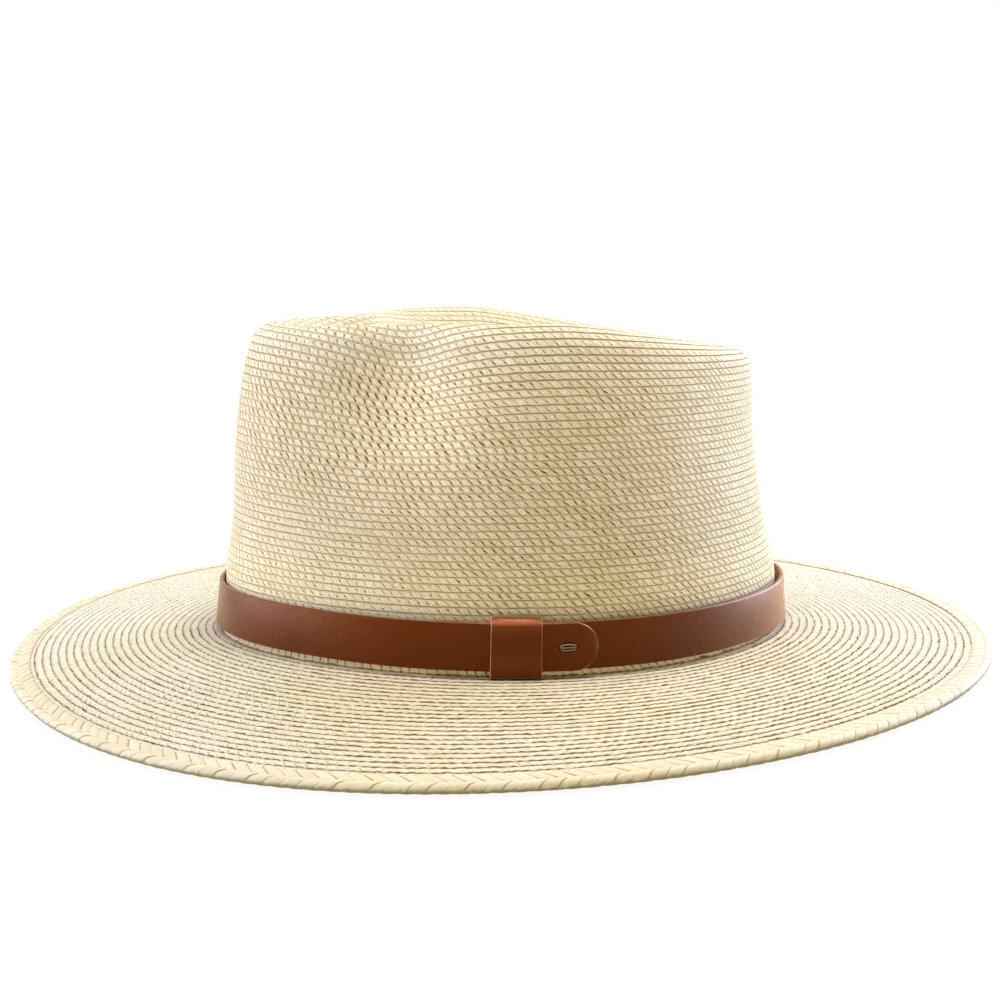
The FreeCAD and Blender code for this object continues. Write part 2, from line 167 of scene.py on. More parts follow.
def smooth_line(points, steps=14):
    """Rounds each column of section points into a fine line that passes through them."""
    gap = np.maximum(np.linalg.norm(np.diff(points, axis=1), axis=-1, keepdims=True), 1e-6)
    slope = np.diff(points, axis=1) / gap
    inner = (slope[:, :-1] * gap[:, 1:] + slope[:, 1:] * gap[:, :-1]) / (gap[:, :-1] + gap[:, 1:])
    tangent = np.concatenate([slope[:, :1], inner, slope[:, -1:]], 1)
    t = (np.arange(steps) / steps)[None, None, :, None]
    start, end = points[:, :-1, None], points[:, 1:, None]
    lead, trail, span = tangent[:, :-1, None], tangent[:, 1:, None], gap[:, :, None]
    line = (start * (2 * t ** 3 - 3 * t ** 2 + 1) + lead * span * (t ** 3 - 2 * t ** 2 + t)
            + end * (3 * t ** 2 - 2 * t ** 3) + trail * span * (t ** 3 - t ** 2))
    line = line.reshape(len(points), -1, points.shape[-1])
    return np.concatenate([line, points[:, -1:]], 1)


def run_lengths(line):
    step = np.linalg.norm(np.diff(line, axis=1), axis=-1)
    return np.concatenate([np.zeros((len(line), 1)), np.cumsum(step, 1)], 1)


def at_lengths(line, lengths, wanted):
    """Points of each column's line at the wanted lengths along it."""
    found = [[np.interp(want, length, part) for part in points.T]
             for points, length, want in zip(line, lengths, wanted)]
    return np.array(found).transpose(0, 2, 1)


def surface_normals(grid):
    """Unit normals of a closed grid: angle, place along the section, XYZ."""
    around = np.roll(grid, -1, 0) - np.roll(grid, 1, 0)
    return unit(np.cross(np.gradient(grid, axis=1), around))


def tracer(line, samples):
    """A rule that gives points and normals at wanted lengths along the section lines, and their total lengths."""
    lengths = run_lengths(line)
    total = lengths[:, -1:]
    fine = np.linspace(0, 1, samples)[None] * total
    normals = surface_normals(at_lengths(line, lengths, fine))

    def trace(wanted):
        return at_lengths(line, lengths, wanted), unit(at_lengths(normals, fine, wanted))

    return trace, total


# ---- meshes
def put(name, data):
    """An object that holds the data, placed in the scene."""
    thing = bpy.data.objects.new(name, data)
    scene.collection.objects.link(thing)
    return thing


def new_mesh(name, points, faces, uv=None, map_name="rows"):
    """Mesh from points in millimetres; uv is one pair for each face corner."""
    mesh = bpy.data.meshes.new(name)
    mesh.from_pydata([tuple(p) for p in np.asarray(points) * MM], [], [tuple(f) for f in faces])
    if uv is not None:
        layer = mesh.uv_layers.new(name=map_name)
        layer.data.foreach_set("uv", np.asarray(uv, np.float32).ravel())
    return mesh


def make_piece(name, points, faces, uv=None, marks=None):
    """Object with smooth faces; marks are values on points."""
    mesh = new_mesh(name, points, faces, uv)
    for mark, values in (marks or {}).items():
        layer = mesh.attributes.new(mark, "FLOAT", "POINT")
        layer.data.foreach_set("value", np.asarray(values, np.float32))
    close_up(mesh)
    mesh.shade_smooth()
    return put(name, mesh)


def close_up(mesh):
    """Joins points that coincide, and turns every face outwards."""
    work = bmesh.new()
    work.from_mesh(mesh)
    bmesh.ops.remove_doubles(work, verts=work.verts, dist=2e-6)
    bmesh.ops.dissolve_degenerate(work, edges=work.edges, dist=1e-6)
    bmesh.ops.recalc_face_normals(work, faces=work.faces)
    work.to_mesh(mesh)
    work.free()


def finish_piece(piece, body, slot, material, *nodes):
    piece.data.materials.clear()
    piece.data.materials.append(material)
    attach(piece, body)
    if nodes:
        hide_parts(*nodes)
    return piece


def plait_lengths(middles):
    """Length along the plait, in crossings, at each angle of each row of middle points."""
    step = np.linalg.norm(np.roll(middles, -1, 0) - middles, axis=-1)
    return np.concatenate([np.zeros((1, step.shape[1])), np.cumsum(step, 0)]) / CELL


def skin_of(points, q, i, on, along, across):
    """Skin with a face from each ring q to the next one at each column i, whose far side is on rings further on;
    along and across are the two values of each on the map."""
    columns, rings = points.shape[:2]
    j, last = (i + 1) % columns, rings - 1
    rows = (q, np.minimum(q + on, last), np.minimum(q + 1 + on, last), q + 1)
    faces = np.stack([row * columns + column for row, column in zip(rows, (i, j, j, i))], -1)
    (here, ahead), (low, high) = along, across
    uv = np.stack(np.broadcast_arrays(here, low, ahead, low, ahead, high, here, high), -1)
    return points.transpose(1, 0, 2).reshape(-1, 3), faces.reshape(-1, 4).tolist(), uv.reshape(-1, 2).tolist()


def spiral_skin(place, rows, columns, relief):
    """Skin of one plait sewn round and round. place(turns) gives points, normals and how much relief is left for
    turns from the start, one line for each angle. The last column meets the first one a whole row further on."""
    per_row = len(ROW_STEPS)
    ring = np.arange((rows + 1) * per_row + 1)
    row = ring // per_row - 1
    share = np.arange(columns)[:, None] / columns
    spiral = np.clip(row + ROW_STEPS[ring % per_row] + share, 0, rows)
    points, normals, fade = place(spiral)
    lift = np.where((spiral <= 0) | (spiral >= rows), 0, (ROW_RISE * relief)[ring % per_row] * fade)
    cells = plait_lengths(place(np.clip(row[::per_row] + 0.5 + share, 0, rows))[0])
    cells = cells + np.concatenate([[0], np.cumsum(cells[-1])])[:-1]
    levels = np.append(ROW_STEPS, 1.0)
    q, i = np.mgrid[:len(ring) - 1, :columns]
    r, k = np.divmod(q, per_row)
    return skin_of(points + normals * lift[..., None], q, i, np.where(i + 1 < columns, 0, per_row),
                   (cells[i, r], cells[i + 1, r]), (r + levels[k], r + levels[k + 1]))


def plain_skin(place, rows, columns):
    """The same skin in closed rings with no relief, for the side that is seen less."""
    points = place(np.repeat(np.arange(rows + 1.0)[None], columns, 0))[0]
    q, i = np.mgrid[:rows, :columns]
    cells = plait_lengths(points) + 0.37 * np.arange(rows + 1)    # so that two rows' crossings don't line up
    return skin_of(points, q, i, 0, (cells[i, q], cells[i + 1, q]), (q, q + 1.0))


def joined(one, other, columns, *rings):
    """Two skins as one, with faces between the rings that start at the given points of each."""
    shift = len(one[0])
    ring = [(i, (i + 1) % columns) for i in range(columns)]
    faces = one[1] + [[i + shift for i in face] for face in other[1]]
    faces += [[a + i, a + j, b + j + shift, b + i + shift] for a, b in rings for i, j in ring]
    return np.concatenate([one[0], other[0]]), faces, one[2] + other[2] + [(0.0, 0.5)] * 4 * columns * len(rings)


def corners(i, k):
    """The corners of the face between stations i and i + 1 and their points k and k + 1."""
    return (i, k), (i + 1, k), (i + 1, k + 1), (i, k + 1)


def tube_faces(stations, count, closed=True):
    faces = [[a % stations * count + b % count for a, b in corners(i, k)]
             for i, k in np.ndindex(stations if closed else stations - 1, count)]
    if not closed:
        faces += [list(range(count)), [(stations - 1) * count + k for k in range(count)]]
    return faces


# ---- crown
def make_crown(columns=256):
    line = smooth_line(seat(crown_sections(all_round(columns))))
    trace, total = tracer(line, 400)
    rows = int(round(total.mean() / CROWN_ROW))
    bowl = np.exp(-((line[:, MID_WALL, 1] + PINCH_SETBACK) / (PINCH_SPREAD * 1.5)) ** 2)[:, None]

    def place(turns):
        share = 1 - turns / rows
        spread = smooth((share - 0.42) / 0.58)
        drawn = smooth(share / 0.55) * smooth((1 - share) / 0.30) * bowl * ROW_DIP
        heights = share * rows * CROWN_ROW + (total - rows * CROWN_ROW) * spread - drawn
        points, normals = trace(np.clip(heights, 0, total))
        return points, normals, np.clip(turns / 2, 0, 1)

    def inside(turns):
        points, normals, fade = place(turns)
        level = unit(normals * np.array([1, 1, 0]))
        normals = np.where((turns >= rows)[..., None], level, normals)
        return points - normals * CROWN_WALL, normals, fade

    outer, inner = spiral_skin(place, rows, columns, CROWN_RELIEF), plain_skin(inside, rows, columns)
    return make_piece("crown_sewn_plait", *joined(outer, inner, columns, (len(outer[0]) - columns, rows * columns)))


# ---- brim
def break_point(turn, side, degrees):
    radius = BREAK_RADIUS if side > 0 else BREAK_RADIUS + BRIM_THICKNESS
    out = BREAK_RADIUS - radius * math.cos(math.radians(turn))
    return seat(at_height(crown_oval(out, degrees), BREAK_RADIUS - radius * math.sin(math.radians(turn))))


def brim_point(share, lift, degrees):
    inner = (break_point(90, 1, degrees) + break_point(90, -1, degrees)) * 0.5
    share = np.broadcast_to(share, degrees.shape)
    flat = inner[..., :2] + (oval(BRIM, degrees) - inner[..., :2]) * share[..., None]
    return at_height(flat, inner[..., 2] + (RIM_HEIGHT - inner[..., 2]) * share ** BRIM_CURVE + lift)


def brim_width(degrees):
    return np.linalg.norm(oval(BRIM, degrees) - break_point(90, 1, degrees)[..., :2], axis=-1)


def brim_line(side, degrees):
    """Section of one face of the brim, from the crown's foot to just inside the rim."""
    rows = [break_point(turn, side, degrees) for turn in range(0, 91, 18)]
    end = 1 - 0.7 / brim_width(degrees)
    rows += [brim_point(share * end, side * BRIM_THICKNESS / 2, degrees) for share in np.linspace(0, 1, 15)[1:]]
    return np.stack(rows, 1)


def brim_skin(side, columns, relief):
    """One face of the brim: side is 1 for the top and -1 for the underside."""
    trace, total = tracer(brim_line(side, all_round(columns)), 300)
    shown = int(round((total.mean() - EDGE_TOP) / BRIM_ROW))
    rows = shown + ROWS_IN_EDGE
    seam = total - EDGE_TOP + 0.7

    def place(turns):
        wanted = np.clip(turns * seam / shown, 0, total)
        points, normals = trace(np.where(turns >= rows, total, wanted))
        if side * normals[0, len(normals[0]) // 2, 2] < 0:
            normals = -normals
        return points, normals, np.clip((rows - 2.2 - turns) / 1.2, 0.15, 1)

    return spiral_skin(place, rows, columns, relief)


def make_brim(columns=352):
    top, under = brim_skin(1, columns, BRIM_RELIEF), brim_skin(-1, columns, UNDER_RELIEF)
    ends = len(top[0]) - columns, len(under[0]) - columns
    return make_piece("brim_sewn_plait", *joined(top, under, columns, ends, (0, 0)))


# ---- node trees
class Tree:
    """A node tree that is written as steps; each step gives the socket that comes out of it."""

    family = "ShaderNode"

    def __init__(self, nodes, links):
        self.nodes, self.links = nodes, links

    def step(self, kind, settings=None, out=0, **inputs):
        """Adds a node of the tree's family, or any by its full kind; settings are set before inputs, which are named
        by label, with _ for a space, or by n and number. With out=None the node itself comes back."""
        node = self.nodes.new(kind if "Node" in kind else self.family + kind)
        for key, value in (settings or {}).items():
            setattr(node, key, value)
        for key, value in inputs.items():
            self.feed(self.find(node, key), value)
        return node if out is None else Value(self, node.outputs[out])

    @staticmethod
    def find(node, key):
        if key[0] == "n" and key[1:].isdigit():
            return node.inputs[int(key[1:])]
        wanted = key.replace("_", " ")
        return next(s for s in node.inputs if s.name == wanted and s.enabled)

    def feed(self, socket, value):
        if isinstance(value, Value):
            self.links.new(value.socket, socket)
        else:
            socket.default_value = (*value, 1) if socket.type == "RGBA" and len(value) == 3 else value

    def math(self, operation, *values, kind="ShaderNodeMath", out=0):
        inputs = {"n%d" % i: value for i, value in enumerate(values)}
        return self.step(kind, {"operation": operation}, out, **inputs)

    def vector_math(self, operation, *values, out=0):
        return self.math(operation, *values, kind="ShaderNodeVectorMath", out=out)

    def split(self, vector):
        node = self.step("ShaderNodeSeparateXYZ", out=None, Vector=vector)
        return [Value(self, socket) for socket in node.outputs]

    def vector(self, x, y, z=0.0):
        return self.step("ShaderNodeCombineXYZ", X=x, Y=y, Z=z)


def arithmetic(operation, swapped=False):
    def act(self, *others):
        return self.tree.math(operation, *((*others, self) if swapped else (self, *others)))
    return act


class Value:
    """A socket that takes part in arithmetic."""

    def __init__(self, tree, socket):
        self.tree, self.socket = tree, socket

    __add__ = __radd__ = arithmetic("ADD")
    __mul__ = __rmul__ = arithmetic("MULTIPLY")
    __sub__, __rsub__ = arithmetic("SUBTRACT"), arithmetic("SUBTRACT", True)
    __truediv__, __pow__ = arithmetic("DIVIDE"), arithmetic("POWER")
    whole, part, size = arithmetic("FLOOR"), arithmetic("FRACT"), arithmetic("ABSOLUTE")

    def between(self, low, high):
        return self.tree.math("MAXIMUM", self.tree.math("MINIMUM", self, high), low)

    def held(self):
        return self.between(0.0, 1.0)

    def off_centre(self):
        """0 in the middle of each whole step and 1 at its ends."""
        return (self - 0.5).size() * 2

    def rise(self, low, high):
        """0 below low, 1 above high and smooth between them."""
        return self.tree.step("ShaderNodeMapRange", {"interpolation_type": "SMOOTHSTEP"},
                              Value=self, From_Min=low, From_Max=high)

    def hump(self, centre, half):
        """1 at centre, falling smoothly to 0 at half on each side of it."""
        return 1 - (self - centre).size().rise(0.0, half)


def srgb(red, green, blue):
    """Linear colour from the usual 0 to 255 numbers."""
    parts = [c / 255 for c in (red, green, blue)]
    return tuple(c / 12.92 if c <= 0.04045 else ((c + 0.055) / 1.055) ** 2.4 for c in parts)


# Straw tones. Some stand for light and shade: glint is a painted highlight, and line, halo, gap, hole, blob and the
# tone that darkens the rows' edges are painted shade.
STRAW = {name: srgb(*colour) for name, colour in dict(
    pale=(238, 222, 188), light=(240, 224, 182), plain=(230, 210, 164), dark=(200, 172, 112), glint=(255, 249, 228),
    green=(220, 204, 150), pink=(234, 202, 160), yellow=(232, 214, 158), blush=(242, 214, 182),
    olive_shade=(196, 172, 100), line=(106, 84, 12), gap=(100, 72, 4), halo=(146, 116, 34), hole=(66, 44, 0),
    blob=(100, 74, 16)).items()}


class Finish(Tree):
    """A surface finish: one material and the steps that make it."""

    def __init__(self, name, **shader):
        self.material = bpy.data.materials.new(name)
        self.material.use_nodes = True
        tree = self.material.node_tree
        super().__init__(tree.nodes, tree.links)
        self.shader = self.nodes["Principled BSDF"]
        self.surface(**shader)
        self.place = self.step("TexCoord", out="Object")

    def rows(self, name="rows"):
        """The two numbers of the piece's own map: along the plait and across it."""
        return self.split(self.step("UVMap", {"uv_map": name}))[:2]

    def noise(self, scale, detail=2.0, place=None):
        return self.step("TexNoise", Vector=place or self.place, Scale=scale, Detail=detail)

    def cells(self, scale, feature):
        return self.step("TexVoronoi", {"feature": feature}, out="Distance", Vector=self.place, Scale=scale)

    def scatter(self, x, y, z=0.0):
        """An even random number for each whole place."""
        return self.step("TexWhiteNoise", Vector=self.vector(x, y, z))

    def mark(self, name):
        return self.step("Attribute", {"attribute_name": name}, out="Fac")

    def coats(self, tint, *coats):
        """Lays colours over a tint; each has its share, its colour or a straw's name and, if not plain, its blend."""
        for share, colour, *how in coats:
            node = self.step("Mix", {"data_type": "RGBA", "blend_type": how[0] if how else "MIX"}, out=None)
            for number, value in ((0, share), (6, tint), (7, colour)):
                self.feed(node.inputs[number], STRAW.get(value, value))
            tint = Value(self, node.outputs[2])
        return tint

    def bump(self, height, distance):
        return self.step("Bump", Height=height, Distance=distance)

    def surface(self, **inputs):
        for key, value in inputs.items():
            self.feed(self.shader.inputs[key.replace("_", " ")], value)
        return self.material


# ---- finishes
def crown_plait_finish():
    """Narrow straw plait in sewn rows: leaf-shaped crossings with a slanting gap and a small hole between them,
    painted dark as the shade in them.
    """
    f = Finish("straw_plait_crown", Specular_IOR_Level=0.0)
    y, z = f.split(f.place)[1:]
    along, across = f.rows()
    sway, fine = f.noise(60.0), f.noise(420.0, 1.0)
    broad, patch = f.noise(15.0), f.noise(48.0)

    # Parts of the crown: opened by the pinches, calm in front, bunched at the ridge.
    worked = y.hump(-0.058, 0.052) * z.rise(0.048, 0.078)
    calm = y.rise(-0.025, -0.060) * z.rise(0.072, 0.050)
    bunched = z.rise(0.094, 0.108)
    above_headline = z + y * math.sin(HEADLINE_TILT) - HEADLINE_HEIGHT * MM

    # Each crossing has its row, its number in the row and a place within it.
    level = across + (fine - 0.5) * 0.24
    row, high = level.whole(), level.part()
    along = along + (sway - 0.5) * 1.1 + (fine - 0.5) * 0.16
    lay = along + high * (0.90 - worked * 0.26)
    cell, strand = lay.whole(), lay.part()
    chance, other, third = f.scatter(cell, row), f.scatter(cell, row, 7.0), f.scatter(cell, row, 13.0)
    edge = 1 - strand.off_centre()

    # Gaps and holes between crossings, painted dark as the shade in them, with painted shade round them.
    open_here = (0.35 + patch.rise(0.30, 0.65) * 0.55 + worked * 0.30 - calm * 0.40) * (0.40 + chance * 0.60)
    open_here = open_here * (1 - z.rise(0.098, 0.112) * 0.60)
    window = high.rise(0.02, 0.20) * high.rise(0.96, 0.78)
    dash = edge.rise(0.32, 0.06) * window * open_here
    halo = edge.rise(0.75, 0.10) * high.hump(0.50, 0.50) * open_here
    hole = edge.rise(0.36, 0.10) * high.hump(0.50 + (third - 0.5) * 0.26, 0.20) * other.rise(0.10, 0.75)

    # The arched lower edge of each straw with painted shade along and above it, its painted highlights and the
    # painted shade line under the row.
    arch = 0.04 + (1 - edge) ** 2.0 * 0.44
    rib = (high - arch).hump(0.02, 0.08) * (0.24 + worked * 0.40)
    shade = (arch - high).rise(0.02, 0.18) * 0.12
    glint = (strand.hump(0.80, 0.12) * 1.2 + strand.hump(0.22, 0.10)) * high.hump(0.56, 0.44) * (0.35 + third * 0.65)
    under = high.rise(0.90 - bunched * 0.07, 0.95) + high.rise(0.05 + bunched * 0.03, 0.0)
    under = (under * (0.60 + patch.rise(0.70, 0.35) * 0.40 + bunched * 0.30)).held()
    fibres = f.noise(1.0, 1.0, f.vector(lay * 7.0, high * 3.0, row * 5.3))

    tint = f.coats(
        "light", (chance, "plain"),
        (broad.rise(0.35, 0.70) * 0.50, "green"),
        (f.noise(33.0).rise(0.52, 0.72) * 0.45, "pink"),
        (fibres.rise(0.42, 0.70) * 0.42, "dark"),
        (fibres.rise(0.46, 0.28) * 0.50, "glint"),
        # Painted shade near both edges of each row, then painted highlights beside the gaps.
        (high.rise(0.62, 0.90) * 0.14 + high.rise(0.30, 0.05) * 0.16, "olive_shade"),
        (glint * 0.70, "glint"),
        # Painted light: the rear and the top cooler and paler, the front a little darker, and the lowest part lighter
        # to lift the band's shade.
        (y.rise(0.015, 0.070), (1.02, 1.07, 1.19), "MULTIPLY"),
        (y.rise(-0.030, -0.075), (0.95, 0.96, 1.0), "MULTIPLY"),
        (z.rise(0.100, 0.116), (1.0, 1.03, 1.12), "MULTIPLY"),
        (above_headline.rise(0.042, 0.024), (1.12, 1.12, 1.09), "MULTIPLY"),
        # Painted shade: the line under each row, along and above the straws' arched edges, and round and in the gaps
        # and holes between crossings.
        (under * (0.80 - worked * 0.52), "line"),
        (rib + shade, "line"),
        (halo * 0.55, "halo"),
        (dash * 0.95, "gap"),
        (hole * 0.90, "hole"))
    height = (glint * 0.30 + fibres * 0.18 + edge.rise(0.0, 0.6) * 0.12
              - dash * 0.15 - hole * 0.2 - under * 0.5 - rib * 0.3 - shade * 0.4)
    rough = 0.50 + fibres * 0.22 + (dash + hole + under).held() * 0.3
    return f.surface(Base_Color=tint, Roughness=rough, Normal=f.bump(height, 0.00024))


def brim_plait_finish():
    """The same plait drawn tight: smooth rounded cords with a thin wavy line of painted shade under each, and painted
    shade and highlights across each cord.
    """
    f = Finish("straw_plait_brim", Specular_IOR_Level=0.0)
    along, across = f.rows()
    sway, fine = f.noise(60.0), f.noise(300.0, 1.0)
    broad, patch = f.noise(14.0), f.noise(34.0)

    # The front and rear ends have thinner lines and a painted cooler, paler light, and the rows at the crown's foot
    # look like the crown's and are painted lighter to lift the band's shade.
    ends = f.split(f.place)[1].size().rise(0.055, 0.135)
    foot = across.rise(2.05, 1.95)

    along = along + (sway - 0.5) * 1.4
    wave = f.noise(1.0, 1.0, f.vector(along * 0.80, across * 1.3))
    scallop = (along.part() - 0.5).size() - 0.25
    level = across + (wave - 0.5) * (0.46 - ends * 0.16) + (fine - 0.5) * 0.26 + scallop * 0.26
    row = level.whole()
    high = foot * (across / 2 + (fine - 0.5) * 0.2).held() + (1 - foot) * level.part()
    lay = along + high * 0.80
    cell, strand = lay.whole(), lay.part()
    chance, other = f.scatter(cell, row * (1 - foot)), f.scatter(cell, row, 7.0)
    edge = 1 - strand.off_centre()

    loose = f.noise(1.0, 2.0, f.vector(along * 0.55, row * 3.1)).rise(0.48, 0.70)
    low = 0.89 + ends * 0.05 - loose * 0.08
    under = (high.rise(low - 0.05, low + 0.03) + high.rise(0.11 - ends * 0.06 + loose * 0.05, 0.02 - ends * 0.02))
    under = (under * (0.74 + loose * 0.18 + edge.rise(0.55, 0.15) * 0.24 + ends * 0.06)).held()
    blob = high.hump(0.93, 0.22) * edge.rise(0.45, 0.10) * other.rise(0.60, 0.85)
    shown = chance.rise(0.35, 1.0) * (0.55 + ends * 0.25) + foot * (0.3 + chance * 0.5)
    dash = edge.rise(0.32, 0.05) * high.hump(0.55, 0.42) * shown
    hole = edge.rise(0.34, 0.06) * high.hump(0.34, 0.20) * foot
    crest = high.hump(0.50, 0.34) * (0.4 + chance * 0.6)
    fibres = f.noise(1.0, 1.0, f.vector(lay * 5.0, high * 3.0, row * 5.3))

    tint = f.coats(
        "pale", (chance, "light"),
        (broad.rise(0.35, 0.70) * 0.45, "yellow"),
        (patch.rise(0.50, 0.72) * 0.55, "blush"),
        (fibres.rise(0.42, 0.70) * 0.36, "dark"),
        (fibres.rise(0.46, 0.28) * 0.40, "glint"),
        # Painted shade across each cord and at the crown's foot, and a painted highlight on each cord's crest.
        (high.rise(0.55, 0.88) * 0.30 + high.rise(0.25, 0.05) * 0.25 + foot * 0.10, "olive_shade"),
        (crest * 0.18, "glint"),
        # Painted light: cooler and paler at the front and rear ends, lighter on the foot rows in the band's shade.
        (ends, (1.00, 1.05, 1.17), "MULTIPLY"),
        (foot, (1.12, 1.08, 0.97), "MULTIPLY"),
        # Painted shade: the line under each cord, the gaps, the dark blobs along the lines and the holes.
        (under * 0.95, "line"),
        (dash, "gap"),
        (blob * 0.85, "blob"),
        (hole * 0.9, "hole"),
        (1.0 - foot * 0.85, (0.75, 0.775, 0.80), "MULTIPLY"))
    height = crest * 0.25 + fibres * 0.15 + edge.rise(0.0, 0.6) * 0.15 - under * 0.6 - blob * 0.4 - dash * 0.3
    return f.surface(Base_Color=tint, Roughness=0.50 + fibres * 0.20 + under * 0.25, Normal=f.bump(height, 0.00026))


def edge_strand_finish():
    """Broad flat straws of the folded edge plait, with fibres along each one, painted shade along each straw's edges
    and under the round rim, and a painted cooler light at the front and rear.
    """
    f = Finish("edge_plait_straw", Specular_IOR_Level=0.15)
    y, z = f.split(f.place)[1:]
    along, across = f.rows("strand")
    tone = f.mark("tone")
    fibres = f.noise(1.0, 3.0, f.vector(along * 1.6, across * 22.0, tone * 50.0))
    streak = f.noise(1.0, 2.0, f.vector(along * 0.7, across * 8.0, tone * 31.0))
    ragged = z + (f.noise(1.0, 1.0, f.vector(along * 2.0, across * 3.0, tone * 9.0)) - 0.5) * 0.0012
    tint = f.coats(
        srgb(220, 205, 168), (tone, srgb(212, 196, 152)),
        (streak.rise(0.45, 0.8) * 0.3, "plain"),
        (fibres.rise(0.5, 0.85) * 0.30, srgb(204, 184, 136)),
        # Painted shade along each straw's long edges, where it meets the next.
        (across.off_centre().rise(0.84, 1.0) * 0.50, srgb(160, 138, 80)),
        (f.noise(22.0).rise(0.4, 0.8) * 0.25, "green"),
        # Painted light: cooler and paler at the front and rear ends.
        (y.size().rise(0.055, 0.135), (0.96, 0.99, 1.08), "MULTIPLY"),
        # Painted shade on the lower part of the round rim, which faces down.
        (ragged.hump(0.0014, 0.0012) * 0.85, srgb(120, 110, 50)))
    return f.surface(Base_Color=tint, Roughness=0.42 + fibres * 0.25,
                     Normal=f.bump(fibres * 0.6 + streak * 0.4, 0.00018))


def core_finish():
    f = Finish("edge_plait_under_layer", Roughness=0.75)
    grain = f.noise(900.0)
    # The inner layer is painted darker than the straws, as the shade seen in the gaps between them.
    tint = f.coats(srgb(150, 128, 84), (grain, srgb(196, 172, 122)))
    return f.surface(Base_Color=tint, Normal=f.bump(grain, 0.0002))


def leather_finish():
    """Saddle leather with a waxed face, fine pores, pale cut edges, a painted highlight on the keeper's top fold and
    the slot for the tack painted near black as the shade in it.
    """
    f = Finish("tan_saddle_leather", Specular_IOR_Level=0.42, Specular_Tint=(1.0, 0.40, 0.10),
               Sheen_Weight=0.60, Sheen_Roughness=0.45, Sheen_Tint=(1.0, 0.56, 0.24))
    cloud, mottle, nick = f.noise(20.0, 3.0), f.noise(240.0, 3.0), f.noise(1300.0, 1.0)
    pores, creases = f.cells(1500.0, "F1"), f.cells(900.0, "DISTANCE_TO_EDGE")
    raw = f.mark("raw")
    edge = (raw + (nick - 0.5) * raw * 1.6).rise(0.22, 0.55)

    # The slot is the space within these reaches of the tack's middle.
    middle, along, out, up = [Vector(v) for v in tack_frame()]
    away = f.vector_math("SUBTRACT", f.place, middle * MM)
    ahead, above, deep = [f.vector_math("DOT_PRODUCT", away, way / (size * MM), out="Value")
                          for way, size in ((along, 3.95), (up, 1.85), (out, 3.0))]
    shaded_slot = 1 - (ahead * ahead + above.size() + deep * deep).rise(0.88, 1.04)

    tint = f.coats(
        srgb(72, 20, 0), (cloud.rise(0.3, 0.7), srgb(86, 29, 1)),
        (mottle.rise(0.45, 0.75) * 0.25, srgb(64, 22, 4)),
        (creases.rise(0.10, 0.0) * 0.15, srgb(54, 18, 4)),
        # Painted highlight on the keeper's top fold and a little on its front face.
        (f.mark("painted_highlight") * 0.85, srgb(180, 106, 66)),
        (edge * 0.90, srgb(214, 160, 120)),
        # The slot painted near black: painted shade in the holes under the thread.
        (shaded_slot, srgb(10, 3, 1)))
    waxed = 0.22 + mottle * 0.10 + edge * 0.40 + shaded_slot * 0.4
    height = creases.rise(0.0, 0.14) * 0.4 + pores.rise(0.0, 0.4) * 0.3 + mottle * 0.5 - shaded_slot * 6.0
    return f.surface(Base_Color=tint, Roughness=waxed.held(), Normal=f.bump(height, 0.00006))


def thread_finish():
    f = Finish("waxed_thread", Roughness=0.5, Specular_IOR_Level=0.3)
    along, across = f.rows()
    cord = (along + across).part().off_centre()
    tint = f.coats(srgb(222, 176, 140), (cord, srgb(140, 88, 56)))
    return f.surface(Base_Color=tint, Normal=f.bump(1 - cord, 0.00012))


def lining_finish():
    """Ribbed cotton lining tape."""
    f = Finish("ribbed_lining_tape", Roughness=0.86, Sheen_Weight=0.2)
    x, y = f.split(f.place)[:2]
    ribs = (f.math("ARCTAN2", x, y) * 95.0).part().off_centre()
    weave = f.noise(1300.0)
    tint = f.coats(
        srgb(92, 70, 52), (ribs, srgb(64, 46, 33)),
        (weave.rise(0.4, 0.7) * 0.4, srgb(116, 92, 70)),
        (f.noise(35.0).rise(0.4, 0.8) * 0.25, srgb(74, 54, 38)))
    return f.surface(Base_Color=tint, Normal=f.bump(weave * 0.5 - ribs * 0.8, 0.00022))


def welt_finish():
    f = Finish("welt_tape", Roughness=0.8)
    weave, dark = f.noise(1500.0), srgb(70, 52, 38)
    tint = f.coats(srgb(104, 82, 60), (weave.rise(0.35, 0.7), dark), (f.noise(60.0).rise(0.5, 0.8) * 0.3, dark))
    return f.surface(Base_Color=tint, Normal=f.bump(weave, 0.00016))


